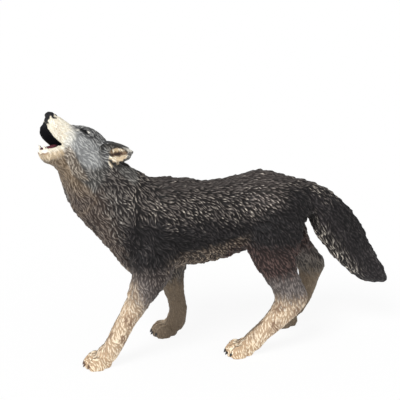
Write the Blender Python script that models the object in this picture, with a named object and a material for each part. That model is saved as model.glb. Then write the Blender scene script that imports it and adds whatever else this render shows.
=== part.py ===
"""A howling wolf figurine, moulded in one piece of solid plastic.

The wolf faces -X and stands on Z = 0. Its left side is at -Y. Every body part is a loft through
sections, the lofts are merged into one skin, and the coat, the mouth and the soles are cut last.
Sizes below are in millimetres.
"""

import math

import bmesh
import bpy
import numpy as np
from mathutils import Matrix, Vector, kdtree

MM = 0.001
NAME = "wolf_figurine"

# Trunk: heights above the ground and full widths
WITHERS_HEIGHT = 62.0
SADDLE_HEIGHT = 60.2
CROUP_HEIGHT = 62.9
BRISKET_HEIGHT = 28.6
BELLY_HEIGHT = 31.5
SOLE_LEVEL = 0.4
GROIN_HEIGHT = 35.2
CHEST_WIDTH = 28.4
LOIN_WIDTH = 23.4
HIP_WIDTH = 25.2
NECK_WIDTH = 22.0
NAPE_WIDTH = 17.0

# Stance: the paws' centrelines lie on two tracks, and each toe tip has its place along X
TRACK_WIDTH = 23.2
LEFT_FRONT_TOE = -47.3
RIGHT_FRONT_TOE = -20.4
LEFT_HIND_TOE = 1.7
RIGHT_HIND_TOE = 24.3

# Legs and paws
FOREARM_WIDTH = 7.6
PASTERN_WIDTH = 6.6
THIGH_WIDTH = 13.2
HOCK_WIDTH = 6.8
FRONT_PAW_LENGTH = 7.6
HIND_PAW_LENGTH = 8.2
PAW_WIDTH = 8.4
PAW_HEIGHT = 6.4
TOE_COUNT = 4

# Tail, hanging behind the croup
TAIL_WIDTH = 13.0
TAIL_TIP = (64.9, 20.3)

# Head: where it sits on the neck, and how it is thrown back, turned and tilted, in degrees
HEAD_CENTRE = (-42.0, 0.0, 73.0)
HEAD_PITCH = 52.0
HEAD_TURN = 12.0
HEAD_ROLL = 12.0
LIP_ROLL = 7.0
CHEEK_WIDTH = 16.0
BROW_WIDTH = 12.6
MUZZLE_WIDTH = 7.6
MUZZLE_TIP = 19.2
JAW_WIDTH = 7.0
EYE_RADIUS = 1.3
NOSE_WIDTH = 4.6
CANINE_LENGTH = 1.5
CANINE_RADIUS = 0.5
INCISOR_COUNT = 4

# How finely the skin is merged, rounded and carved
MERGE_VOXEL = 0.45
BODY_ROUNDING = 20
HEAD_ROUNDING = 3
LOCK_SPACING = 2.6
LOCK_LENGTH = 8.0
LOCK_WIDTH = 3.2
LOCK_HEIGHT = 0.85
LOCK_SINK = 0.4
TRIANGLES = 9900
DETAIL_SHARE = 0.5
DETAIL_FACTOR = 0.004
# Steps between sections, sides of a ring and rings of a cap
FINE_LOFT = (4, 28, 4)
COARSE_LOFT = (2, 14, 2)


# Lofts
def spline(values, steps):
    """The rows of values, with steps rows to each gap, on a smooth curve through them."""
    rows = np.asarray(values, float)
    ends = np.vstack([2 * rows[0] - rows[1], rows, 2 * rows[-1] - rows[-2]])
    out = []
    for i in range(1, len(ends) - 2):
        before, here, there, after = ends[i - 1 : i + 3]
        for t in np.arange(steps) / steps:
            out.append(
                0.5
                * (
                    2 * here
                    + (there - before) * t
                    + (2 * before - 5 * here + 4 * there - after) * t * t
                    + (3 * here - before - 3 * there + after) * t**3
                )
            )
    out.append(rows[-1])
    return np.array(out)


def section(front, back, width, centre=0.0, keel=0.0, square=2.0):
    """One cross-section: two points of the side view that it spans, its full width, its
    sideways centre, keel, how much wider its back half is than its front half, and square,
    2 for an ellipse and more for fuller corners."""
    return (*front, *back, centre, width / 2, keel, square)


def section_ring(row, sides, reach=1.0, shift=(0.0, 0.0)):
    """The points of a cross-section as (side view x, sideways y, side view z)."""
    front = Vector(row[0:2])
    back = Vector(row[2:4])
    middle = (front + back) / 2 + Vector(shift)
    half = (front - back) / 2 * reach
    ring = []
    for k in range(sides):
        angle = 2 * math.pi * k / sides
        across = math.copysign(abs(math.cos(angle)) ** (2 / row[7]), math.cos(angle))
        aside = math.copysign(abs(math.sin(angle)) ** (2 / row[7]), math.sin(angle))
        along = middle + half * across
        ring.append((along.x, row[4] + row[5] * reach * aside * (1 - row[6] * across), along.y))
    return ring


def loft_rings(sections, steps, sides, dome_rings):
    """The rings of a loft, with a rounded cap at each end."""
    rows = spline(sections, steps)
    middles = (rows[:, 0:2] + rows[:, 2:4]) / 2
    rings = [section_ring(row, sides) for row in rows]
    for end, inner, at_start in ((0, 1, True), (-1, -2, False)):
        row = rows[end]
        outward = Vector(middles[end] - middles[inner]).normalized()
        depth = 0.5 * min(np.linalg.norm(row[0:2] - row[2:4]), 2 * row[5])
        for k in range(1, dome_rings + 1):
            angle = math.pi / 2 * k / (dome_rings + 0.4)
            ring = section_ring(row, sides, math.cos(angle), outward * depth * math.sin(angle))
            rings.insert(0 if at_start else len(rings), ring)
    return rings


def loft(sections, place=None, fine=True):
    """A closed mesh through the sections. place turns it from its own frame into the wolf's."""
    mesh = bmesh.new()
    rings = []
    size = FINE_LOFT if fine else COARSE_LOFT
    for points in loft_rings(sections, *size):
        rings.append([mesh.verts.new(point) for point in points])
    for first, second in zip(rings, rings[1:]):
        for k in range(len(first)):
            after = (k + 1) % len(first)
            mesh.faces.new((first[k], first[after], second[after], second[k]))
    mesh.faces.new(rings[0])
    mesh.faces.new(rings[-1])
    bmesh.ops.recalc_face_normals(mesh, faces=mesh.faces)
    if place is not None:
        mesh.transform(place)
    return mesh


def ball(centre, radii, place=None, turn=0.0, segments=20):
    """A closed ellipsoid, turned about the sideways axis by turn degrees."""
    mesh = bmesh.new()
    bmesh.ops.create_uvsphere(mesh, u_segments=segments, v_segments=segments // 2, radius=1.0)
    local = (
        Matrix.Translation(centre)
        @ Matrix.Rotation(math.radians(turn), 4, "Y")
        @ Matrix.Diagonal((*radii, 1.0))
    )
    mesh.transform(local if place is None else place @ local)
    return mesh


def cone(base, tip, radius, place):
    """A pointed tooth or claw from base to tip, both (along, sideways, up) in the head's frame."""
    mesh = bmesh.new()
    span = Vector(tip) - Vector(base)
    bmesh.ops.create_cone(
        mesh, cap_ends=True, segments=8, radius1=radius, radius2=radius * 0.15, depth=span.length
    )
    turn = span.to_track_quat("Z", "Y").to_matrix().to_4x4()
    mesh.transform(place @ Matrix.Translation(Vector(base) + span / 2) @ turn)
    return mesh


# The head's own frame: X runs from the skull to the nose, Y to the wolf's left, Z to the crown
def head_frame():
    pitch, turn, roll = (math.radians(a) for a in (HEAD_PITCH, HEAD_TURN, HEAD_ROLL))
    ahead = Vector(
        (
            -math.cos(pitch) * math.cos(turn),
            -math.cos(pitch) * math.sin(turn),
            math.sin(pitch),
        )
    )
    left = Vector((math.sin(turn), -math.cos(turn), 0.0))
    crown = ahead.cross(left)
    left, crown = (
        left * math.cos(roll) + crown * math.sin(roll),
        crown * math.cos(roll) - left * math.sin(roll),
    )
    frame = Matrix((ahead, left, crown)).transposed().to_4x4()
    frame.translation = HEAD_CENTRE
    return frame


# Body parts
def trunk():
    """Back and belly lines, from the rump to the nape."""
    return [
        section((33.0, CROUP_HEIGHT - 6.8), (33.6, GROIN_HEIGHT + 12.5), HIP_WIDTH * 0.48),
        section((29.5, CROUP_HEIGHT - 3.7), (31.0, GROIN_HEIGHT + 8.3), HIP_WIDTH * 0.76),
        section((24.0, CROUP_HEIGHT - 1.9), (26.0, GROIN_HEIGHT + 3.3), HIP_WIDTH * 0.95),
        section((17.0, CROUP_HEIGHT), (17.5, GROIN_HEIGHT + 0.3), HIP_WIDTH),
        section((10.0, CROUP_HEIGHT - 1.1), (10.5, GROIN_HEIGHT), LOIN_WIDTH),
        section((3.0, SADDLE_HEIGHT + 0.1), (3.0, BELLY_HEIGHT + 1.2), LOIN_WIDTH * 1.03, keel=-0.05),
        section((-4.0, SADDLE_HEIGHT), (-4.5, BELLY_HEIGHT), CHEST_WIDTH * 0.93, keel=-0.08),
        section((-11.0, WITHERS_HEIGHT - 0.5), (-13.0, BELLY_HEIGHT - 0.6), CHEST_WIDTH * 0.98, keel=-0.1),
        section((-17.0, WITHERS_HEIGHT), (-22.0, BRISKET_HEIGHT), CHEST_WIDTH, keel=-0.1),
        section((-21.5, WITHERS_HEIGHT), (-29.1, BRISKET_HEIGHT + 0.5), CHEST_WIDTH * 0.94, keel=-0.1),
        section((-25.2, WITHERS_HEIGHT + 2.2), (-35.1, 36.4), NECK_WIDTH * 1.14, keel=-0.06),
        section((-28.5, WITHERS_HEIGHT + 4.4), (-41.7, 44.8), NECK_WIDTH * 1.06),
        section((-31.5, WITHERS_HEIGHT + 6.3), (-47.2, 50.8), NECK_WIDTH),
        section((-34.6, WITHERS_HEIGHT + 8.8), (-50.6, 58.2), NECK_WIDTH * 0.92),
        section((-37.4, WITHERS_HEIGHT + 12.0), (-52.2, 63.6), NAPE_WIDTH),
    ]


def tail():
    """Upper and under line of the tail, from the croup to the tip."""
    tip_x, tip_z = TAIL_TIP
    return [
        section((27.0, CROUP_HEIGHT - 2.8), (30.0, 47.5), TAIL_WIDTH * 0.86),
        section((34.0, CROUP_HEIGHT - 4.6), (33.2, 45.6), TAIL_WIDTH * 0.92),
        section((40.4, tip_z + 34.9), (35.8, tip_z + 20.4), TAIL_WIDTH),
        section((46.0, tip_z + 30.1), (39.2, tip_z + 15.6), TAIL_WIDTH),
        section((51.0, tip_z + 24.8), (43.0, tip_z + 10.8), TAIL_WIDTH * 0.95),
        section((54.5, tip_z + 19.0), (46.9, tip_z + 6.6), TAIL_WIDTH * 0.86),
        section((57.7, tip_z + 12.8), (50.8, tip_z + 2.9), TAIL_WIDTH * 0.74),
        section((60.6, tip_z + 7.6), (54.8, tip_z + 0.1), TAIL_WIDTH * 0.6),
        section((tip_x - 1.6, tip_z + 3.5), (58.6, tip_z - 1.0), TAIL_WIDTH * 0.42),
        section((tip_x - 0.4, tip_z + 1.0), (61.2, tip_z - 1.2), TAIL_WIDTH * 0.24),
    ]


def left_front_leg():
    """Reaches forward. The first rows are the shoulder under the coat."""
    track = -TRACK_WIDTH / 2
    toe = LEFT_FRONT_TOE
    return [
        section((-22.0, 54.0), (-11.0, 51.0), 10.0, track + 4.6),
        section((-27.0, 45.0), (-12.0, 41.5), 12.4, track + 3.4),
        section((-30.4, 36.5), (-15.5, 33.5), 11.2, track + 1.8),
        section((-30.6, 31.2), (-19.0, 28.2), 9.4, track + 0.8),
        section((-31.8, 26.6), (-22.9, 23.8), FOREARM_WIDTH * 1.1, track + 0.3),
        section((-33.8, 21.4), (-26.8, 18.8), FOREARM_WIDTH, track),
        section((toe + 11.0, 16.8), (toe + 17.1, 14.0), FOREARM_WIDTH * 0.92, track),
        section((toe + 8.9, 12.4), (toe + 14.7, 9.6), PASTERN_WIDTH, track),
        section((toe + 7.0, 8.8), (toe + 13.0, 6.2), PASTERN_WIDTH, track),
        section((toe + 4.6, 6.6), (toe + 10.6, 2.6), PASTERN_WIDTH, track),
    ]


def right_front_leg():
    """Stands nearly upright, a step behind the left one."""
    track = TRACK_WIDTH / 2
    toe = RIGHT_FRONT_TOE
    return [
        section((-20.0, 54.0), (-9.0, 52.0), 10.0, track - 4.6),
        section((-22.0, 44.0), (-8.0, 42.0), 12.0, track - 3.4),
        section((-21.0, 35.5), (-7.6, 34.5), 10.6, track - 1.8),
        section((-19.0, 29.0), (-7.6, 28.0), 8.8, track - 0.8),
        section((-17.6, 23.0), (-8.6, 22.6), FOREARM_WIDTH * 1.05, track - 0.3),
        section((-15.9, 17.6), (-8.3, 17.6), FOREARM_WIDTH * 0.95, track),
        section((toe + 6.1, 13.2), (toe + 12.8, 13.2), PASTERN_WIDTH, track),
        section((toe + 6.4, 9.2), (toe + 13.2, 8.6), PASTERN_WIDTH, track),
        section((toe + 5.4, 6.2), (toe + 12.2, 3.8), PASTERN_WIDTH, track),
    ]


def left_hind_leg():
    """Steps forward under the body, with the hock behind the thigh."""
    track = -TRACK_WIDTH / 2
    toe = LEFT_HIND_TOE
    return [
        section((11.0, 52.0), (29.0, 53.0), THIGH_WIDTH * 0.9, track + 5.4),
        section((8.8, 43.5), (29.8, 46.5), THIGH_WIDTH, track + 3.8),
        section((9.0, 38.0), (28.8, 41.0), THIGH_WIDTH * 0.95, track + 2.6),
        section((11.2, 33.2), (27.0, 35.8), THIGH_WIDTH * 0.84, track + 1.5),
        section((14.2, 29.2), (26.5, 31.2), THIGH_WIDTH * 0.7, track + 0.8),
        section((17.0, 25.2), (28.0, 27.2), HOCK_WIDTH * 1.22, track + 0.3),
        section((18.8, 21.8), (30.0, 22.8), HOCK_WIDTH * 1.05, track),
        section((18.8, 18.9), (30.6, 18.4), HOCK_WIDTH, track),
        section((17.1, 16.0), (26.8, 13.6), HOCK_WIDTH, track),
        section((toe + 13.0, 12.8), (toe + 20.0, 9.3), HOCK_WIDTH * 0.96, track),
        section((toe + 9.8, 9.8), (toe + 15.4, 6.0), HOCK_WIDTH * 0.96, track),
        section((toe + 7.0, 7.4), (toe + 12.2, 2.4), HOCK_WIDTH, track),
    ]


def right_hind_leg():
    """Trails behind, under the root of the tail."""
    track = TRACK_WIDTH / 2
    toe = RIGHT_HIND_TOE
    return [
        section((13.0, 52.0), (30.0, 53.0), THIGH_WIDTH * 0.9, track - 5.4),
        section((13.5, 43.5), (33.4, 46.5), THIGH_WIDTH, track - 3.8),
        section((17.0, 37.5), (35.4, 40.2), THIGH_WIDTH * 0.9, track - 2.6),
        section((22.5, 32.4), (37.2, 34.8), THIGH_WIDTH * 0.74, track - 1.4),
        section((28.2, 28.2), (40.0, 30.2), THIGH_WIDTH * 0.6, track - 0.6),
        section((32.6, 24.8), (43.8, 26.2), HOCK_WIDTH * 1.08, track),
        section((34.6, 21.4), (44.3, 22.4), HOCK_WIDTH, track),
        section((34.9, 17.8), (42.4, 19.2), HOCK_WIDTH * 0.94, track),
        section((toe + 10.5, 13.0), (toe + 16.8, 14.6), HOCK_WIDTH * 0.9, track),
        section((toe + 9.0, 9.0), (toe + 15.0, 10.2), HOCK_WIDTH * 0.9, track),
        section((toe + 6.6, 6.2), (toe + 12.2, 5.6), HOCK_WIDTH * 0.95, track),
    ]


def paw(toe, length, track):
    """The paw's pad and its toes, side by side, as closed meshes that reach below the ground."""
    heel = toe + length
    pad = [
        section((heel + 0.2, PAW_HEIGHT * 0.8), (heel - 1.6, -0.7), PAW_WIDTH * 0.66, track),
        section((heel - 1.8, PAW_HEIGHT), (heel - 2.6, -0.8), PAW_WIDTH * 0.84, track, square=2.4),
        section((toe + 4.4, PAW_HEIGHT * 0.8), (toe + 4.6, -0.7), PAW_WIDTH * 0.84, track, square=2.4),
    ]
    meshes = [loft(pad)]
    pitch = PAW_WIDTH / TOE_COUNT
    for k in range(TOE_COUNT):
        aside = (k - (TOE_COUNT - 1) / 2) * pitch
        back = 1.1 * max(0.0, abs(aside) / pitch - 0.5)
        centre = (toe + 2.9 + back, track + aside, PAW_HEIGHT * 0.36)
        meshes.append(ball(centre, (3.1, pitch * 0.6, PAW_HEIGHT * 0.46), turn=-18.0))
    return meshes


def ruff():
    """The fur of cheeks and throat, which rounds the head into the neck."""
    return [
        section((-10.0, 1.0), (-9.0, -13.4), CHEEK_WIDTH * 1.06),
        section((-5.0, 4.0), (-4.6, -13.8), CHEEK_WIDTH * 1.1, keel=0.06),
        section((-1.0, 4.9), (-0.6, -13.4), CHEEK_WIDTH * 1.04, keel=0.12),
        section((3.0, 4.6), (3.4, -12.4), CHEEK_WIDTH * 0.88, keel=0.14),
    ]


def skull():
    """Crown line and lip line, from the nape to the nose."""
    tip = MUZZLE_TIP
    return [
        section((-4.0, 5.2), (-3.0, -11.4), CHEEK_WIDTH * 0.86),
        section((-1.0, 6.1), (-0.6, -12.4), CHEEK_WIDTH * 0.94, keel=0.12),
        section((2.8, 5.9), (3.0, -12.2), CHEEK_WIDTH * 0.88, keel=0.14),
        section((6.4, 4.4), (6.2, -10.8), BROW_WIDTH, keel=0.04),
        section((9.0, 1.8), (8.4, -8.9), BROW_WIDTH * 0.82, square=2.4),
        section((11.4, 0.2), (10.4, -9.0), MUZZLE_WIDTH * 1.1, square=2.9),
        section((tip - 5.2, -0.5), (tip - 6.2, -9.8), MUZZLE_WIDTH, square=3.0),
        section((tip - 3.2, -1.0), (tip - 4.2, -9.4), MUZZLE_WIDTH * 0.95, square=3.0),
        section((tip - 1.9, -1.7), (tip - 2.9, -8.0), MUZZLE_WIDTH * 0.82, square=2.6),
    ]


def lower_jaw():
    """Upper and under line of the dropped jaw, from its root to the chin."""
    return [
        section((6.4, -6.0), (1.2, -12.6), JAW_WIDTH * 1.5),
        section((9.8, -8.0), (5.2, -13.0), JAW_WIDTH * 1.24, square=2.4),
        section((11.4, -10.4), (7.6, -14.3), JAW_WIDTH, square=2.6),
        section((11.9, -11.5), (8.9, -14.5), JAW_WIDTH * 0.88, square=2.4),
        section((12.5, -12.3), (10.1, -14.5), JAW_WIDTH * 0.7),
    ]


def mouth_hollow():
    """The space between palate and tongue, from the front teeth to the throat."""
    return [
        section((21.0, -7.2), (17.0, -15.0), MUZZLE_WIDTH * 0.5),
        section((16.9, -6.2), (13.0, -13.0), MUZZLE_WIDTH * 0.66, square=2.6),
        section((14.0, -5.6), (11.3, -11.8), MUZZLE_WIDTH * 0.7, square=2.6),
        section((11.0, -5.5), (9.4, -10.0), MUZZLE_WIDTH * 0.72, square=2.6),
        section((8.0, -5.9), (7.0, -9.0), MUZZLE_WIDTH * 0.66),
        section((4.6, -6.4), (4.4, -8.6), MUZZLE_WIDTH * 0.44),
    ]


def gape():
    """The wedge between the lips, cut right through, from the mouth's corners forward."""
    wide = CHEEK_WIDTH
    return [
        section((10.4, -7.6), (9.8, -8.0), wide, square=4.0),
        section((13.6, -7.9), (11.3, -10.6), wide, square=4.0),
        section((16.5, -7.2), (14.4, -13.2), wide, square=4.0),
        section((19.0, -5.6), (18.0, -15.4), wide, square=4.0),
        section((22.0, -4.6), (21.0, -16.4), wide, square=4.0),
    ]


def tongue():
    """Lies in the lower jaw, from the throat to behind the front teeth."""
    return [
        section((5.2, -7.0), (4.2, -9.8), JAW_WIDTH * 0.5),
        section((8.9, -8.6), (7.2, -10.6), JAW_WIDTH * 0.56),
        section((10.9, -10.7), (9.5, -12.4), JAW_WIDTH * 0.5),
        section((12.3, -12.4), (11.4, -13.5), JAW_WIDTH * 0.34),
    ]


def ear(scale=1.0, outward=0.0, side=1.0):
    """The ear laid back, from its root to its tip. A smaller one, moved outward, is its hollow."""
    rows = [
        ((1.8, 3.2), (-4.6, -1.4), 4.0, 5.8),
        ((-0.6, 5.5), (-6.2, 0.8), 3.4, 7.1),
        ((-3.4, 6.9), (-7.8, 2.6), 2.8, 8.4),
        ((-6.0, 8.0), (-8.9, 5.2), 2.2, 9.3),
        ((-7.4, 8.5), (-8.7, 7.3), 1.4, 9.8),
    ]
    sections = []
    for front, back, thick, aside in rows:
        middle = (Vector(front) + Vector(back)) / 2
        half = (Vector(front) - Vector(back)) / 2 * scale
        sections.append(section(middle + half, middle - half, thick, side * (aside + outward)))
    return sections


# Merging
def object_of(mesh, name):
    """A new object in the scene that holds the bmesh."""
    data = bpy.data.meshes.new(name)
    mesh.to_mesh(data)
    mesh.free()
    thing = bpy.data.objects.new(name, data)
    bpy.context.scene.collection.objects.link(thing)
    return thing


def joined(meshes):
    """One bmesh that holds all of the meshes."""
    whole = bmesh.new()
    for mesh in meshes:
        part = bpy.data.meshes.new("part")
        mesh.to_mesh(part)
        mesh.free()
        whole.from_mesh(part)
        bpy.data.meshes.remove(part)
    return whole


def applied(thing):
    """The object with its modifiers made real."""
    graph = bpy.context.evaluated_depsgraph_get()
    data = bpy.data.meshes.new_from_object(thing.evaluated_get(graph))
    old = thing.data
    thing.modifiers.clear()
    thing.data = data
    bpy.data.meshes.remove(old)
    return thing


def merged(meshes, rounding):
    """One rounded skin over all of the overlapping meshes."""
    thing = object_of(joined(meshes), NAME)
    remesh = thing.modifiers.new("merge", "REMESH")
    remesh.mode = "VOXEL"
    remesh.voxel_size = MERGE_VOXEL
    smooth = thing.modifiers.new("round", "SMOOTH")
    smooth.factor = 0.5
    smooth.iterations = rounding
    return applied(thing)


def taken(thing):
    """The object's mesh as a bmesh. The object goes."""
    mesh = bmesh.new()
    mesh.from_mesh(thing.data)
    data = thing.data
    bpy.data.objects.remove(thing)
    bpy.data.meshes.remove(data)
    return mesh


def combine(thing, tool_mesh, operation):
    """Adds or cuts a closed mesh, exactly."""
    tool = object_of(tool_mesh, "tool")
    boolean = thing.modifiers.new("combine", "BOOLEAN")
    boolean.operation = operation
    boolean.object = tool
    applied(thing)
    data = tool.data
    bpy.data.objects.remove(tool)
    bpy.data.meshes.remove(data)


# The coat
def points_and_normals(thing):
    """The mesh's points and their normals, as two arrays."""
    count = len(thing.data.vertices)
    points = np.empty(count * 3)
    normals = np.empty(count * 3)
    thing.data.vertices.foreach_get("co", points)
    thing.data.vertices.foreach_get("normal", normals)
    return points.reshape(-1, 3), normals.reshape(-1, 3)


def fur_flow(points, head):
    """The way that the hair lies at each point: back from the nose, down the neck and the
    legs, back and down along the trunk, and out along the tail."""
    x, y, z = points.T
    trunk_way = np.array([1.0, 0.0, -0.35])
    neck_way = np.array([0.75, 0.0, -0.75])
    leg_way = np.array([0.25, 0.0, -1.0])
    tail_way = np.array([0.62, 0.0, -0.78])
    head_way = -np.array(head.to_3x3().col[0])
    neck = np.clip((-22 - x) / 10, 0, 1) * np.clip((z - 40) / 8, 0, 1)
    leg = np.clip((BELLY_HEIGHT + 8 - z) / 10, 0, 1)
    brush = np.clip((x - 30) / 5, 0, 1) * (x + z > 73)
    face = np.clip((-38 - x) / 5, 0, 1) * np.clip((z - 62) / 6, 0, 1)
    way = np.tile(trunk_way, (len(points), 1))
    for share, other in ((neck, neck_way), (leg, leg_way), (brush, tail_way), (face, head_way)):
        way += share[:, None] * (other - way)
    return way


def coat_share(points, head):
    """How thick the coat is at each point, from 0 on paws, nose and muzzle to 1 on the body."""
    ahead = (points - np.array(head.translation)) @ np.array(head.to_3x3().col[0])
    face = (points[:, 0] < -36) & (points[:, 2] > 58)
    share = np.clip((points[:, 2] - 11) / 16, 0, 1)
    share[face] *= np.clip((7 - ahead[face]) / 9, 0, 1) * 0.7
    ear_zone = (points[:, 0] < -27) & (points[:, 0] + 1.2 * points[:, 2] > 53.5)
    share[ear_zone] *= 0.35
    return share


def spaced_seeds(points, spacing, rng):
    """Indices of points that lie at least the spacing apart, in a shuffled order."""
    tree = kdtree.KDTree(len(points))
    for i, point in enumerate(points):
        tree.insert(point, i)
    tree.balance()
    free = np.ones(len(points), bool)
    seeds = []
    for i in rng.permutation(len(points)):
        if not free[i]:
            continue
        seeds.append(i)
        for _, near, _ in tree.find_range(points[i], spacing):
            free[near] = False
    return np.array(seeds), tree


def comb_coat(thing, head):
    """Raises overlapping locks of hair on the skin, each highest and narrowest at its tip."""
    rng = np.random.default_rng(7)
    points, normals = points_and_normals(thing)
    way = fur_flow(points, head)
    share = coat_share(points, head)
    seeds, tree = spaced_seeds(points, LOCK_SPACING, rng)
    rise = np.zeros(len(points))
    for seed in seeds:
        if share[seed] == 0:
            continue
        length = LOCK_LENGTH * rng.uniform(0.75, 1.25)
        normal = normals[seed]
        lie = way[seed] - normal * (way[seed] @ normal)
        lie /= np.linalg.norm(lie) + 1e-9
        aside = np.cross(normal, lie)
        lie = lie + aside * rng.normal(0.0, 0.16)
        aside = np.cross(normal, lie)
        middle = Vector(points[seed] + lie * length / 2)
        near = np.array([index for _, index, _ in tree.find_range(middle, length * 0.62)])
        offset = points[near] - points[seed]
        along = offset @ lie / length
        half = LOCK_WIDTH / 2 * (1.1 - 0.6 * np.clip(along, 0, 1))
        across = offset @ aside / half
        crest = np.clip(1 - across**2, 0, 1)
        slope = np.where(along < 0.8, along / 0.8, (1 - along) / 0.2)
        height = crest * np.clip(slope, 0, 1) * (normals[near] @ normal > 0.3)
        rise[near] = np.maximum(rise[near], height)
    moved = points + normals * ((rise - LOCK_SINK) * share * LOCK_HEIGHT)[:, None]
    thing.data.vertices.foreach_set("co", moved.ravel())
    thing.data.update()


def thin_out(thing, head):
    """Fewer triangles, with more of them kept on the head and the paws."""
    points, _ = points_and_normals(thing)
    group = thing.vertex_groups.new(name="plain")
    distance = np.linalg.norm(points - np.array(head.translation), axis=1)
    fine = (distance < 24) & (points[:, 0] < -32) | (points[:, 2] < PAW_HEIGHT + 2)
    group.add(np.flatnonzero(~fine).tolist(), 1.0, "REPLACE")
    group.add(np.flatnonzero(fine).tolist(), DETAIL_SHARE, "REPLACE")
    decimate = thing.modifiers.new("thin out", "DECIMATE")
    decimate.vertex_group = group.name
    decimate.vertex_group_factor = DETAIL_FACTOR
    decimate.use_collapse_triangulate = True
    thing.data.calc_loop_triangles()
    decimate.ratio = TRIANGLES / len(thing.data.loop_triangles)
    applied(thing)
    thing.vertex_groups.clear()


# Details of the head, in the head's own frame
def teeth(head):
    """Two canines and the row of small front teeth between them, in the lower jaw."""
    lean = Vector((0.87, 0.0, 0.49))
    meshes = []
    for side in (1.0, -1.0):
        root = Vector((11.0, side * JAW_WIDTH * 0.28, -12.4))
        meshes.append(cone(root, root + lean * (CANINE_LENGTH + 1.0), CANINE_RADIUS, head))
    for k in range(INCISOR_COUNT):
        aside = (k - (INCISOR_COUNT - 1) / 2) * JAW_WIDTH * 0.11
        root = Vector((11.5, aside, -13.1))
        meshes.append(cone(root, root + lean * (CANINE_LENGTH * 0.4 + 1.0), CANINE_RADIUS, head))
    return meshes


def nose(head):
    """The pad on the end of the muzzle."""
    centre = (MUZZLE_TIP - 1.5, 0.0, -3.3)
    return ball(centre, (1.7, NOSE_WIDTH / 2, 1.9), head, -12.0, 14)


def brow(head):
    """The rounded ridges over the eyes."""
    centres = [(6.2, side * BROW_WIDTH * 0.27, 1.7) for side in (1.0, -1.0)]
    return [ball(centre, (3.6, BROW_WIDTH * 0.18, 2.1), head, turn=30.0) for centre in centres]


def eyes(head):
    """Two narrow almond-shaped eyes, sunk in the sides of the brow."""
    centres = [(8.0, side * BROW_WIDTH * 0.375, 0.9) for side in (1.0, -1.0)]
    return [ball(centre, (EYE_RADIUS, 0.8, 0.6), head, 20.0, 10) for centre in centres]


def sole_cutter():
    """A block under the ground, wide enough for the whole figure."""
    mesh = bmesh.new()
    bmesh.ops.create_cube(mesh, size=1.0)
    size = 4 * WITHERS_HEIGHT
    mesh.transform(Matrix.Translation((0, 0, SOLE_LEVEL - size / 2)) @ Matrix.Scale(size, 4))
    return mesh


def build():
    head = head_frame()
    legs = [left_front_leg(), right_front_leg(), left_hind_leg(), right_hind_leg()]
    meshes = [loft(rows) for rows in (trunk(), tail(), *legs)]
    body = merged([*meshes, loft(ruff(), head)], BODY_ROUNDING)
    parts = [taken(body), loft(skull(), head), loft(lower_jaw(), head), *brow(head)]
    half = TRACK_WIDTH / 2
    parts += paw(LEFT_FRONT_TOE, FRONT_PAW_LENGTH, -half)
    parts += paw(RIGHT_FRONT_TOE, FRONT_PAW_LENGTH, half)
    parts += paw(LEFT_HIND_TOE, HIND_PAW_LENGTH, -half)
    parts += paw(RIGHT_HIND_TOE, HIND_PAW_LENGTH, half)
    for side in (1.0, -1.0):
        parts.append(loft(ear(side=side), head))
    wolf = merged(parts, HEAD_ROUNDING)
    comb_coat(wolf, head)
    thin_out(wolf, head)
    combine(wolf, loft(mouth_hollow(), head, fine=False), "DIFFERENCE")
    lips = head @ Matrix.Rotation(math.radians(LIP_ROLL), 4, "X")
    combine(wolf, loft(gape(), lips, fine=False), "DIFFERENCE")
    for side in (1.0, -1.0):
        combine(wolf, loft(ear(0.68, 1.4, side), head, fine=False), "DIFFERENCE")
    for detail in (loft(tongue(), head, fine=False), nose(head), *teeth(head), *eyes(head)):
        combine(wolf, detail, "UNION")
    combine(wolf, sole_cutter(), "DIFFERENCE")
    return wolf


def centred(thing):
    """Moves the mesh so that its box stands on the origin."""
    points, _ = points_and_normals(thing)
    low = points.min(axis=0)
    high = points.max(axis=0)
    shift = Vector((-(low[0] + high[0]) / 2, -(low[1] + high[1]) / 2, -low[2]))
    thing.data.transform(Matrix.Translation(shift))
    return shift


def painted_plastic():
    """Near-black painted coat, as one colour for the whole figure."""
    material = bpy.data.materials.new("painted_plastic")
    material.use_nodes = True
    shader = material.node_tree.nodes["Principled BSDF"]
    shader.inputs["Base Color"].default_value = (0.045, 0.038, 0.036, 1.0)
    shader.inputs["Roughness"].default_value = 0.62
    return material


def clear_scene():
    for thing in list(bpy.data.objects):
        bpy.data.objects.remove(thing)


clear_scene()
wolf_object = build()
shift = centred(wolf_object)
wolf_object.data.transform(Matrix.Scale(MM, 4))
wolf_object.data.materials.clear()
wolf_object.data.materials.append(painted_plastic())
wolf_object.data.shade_smooth()
wolf_object.data.set_sharp_from_angle(angle=math.radians(50))
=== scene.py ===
"""Looks of the howling wolf figurine: its carved coat, its painting, and the studio around it.

The wolf faces -X and stands on Z = 0, its left side at -Y. Lengths below are in millimetres,
and the meshes are made in metres. Colours are display values from 0 to 255.
"""

from collections import namedtuple
import math

import bmesh
import bpy
import numpy as np
from mathutils import Matrix, Vector, kdtree
from mathutils.bvhtree import BVHTree


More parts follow.
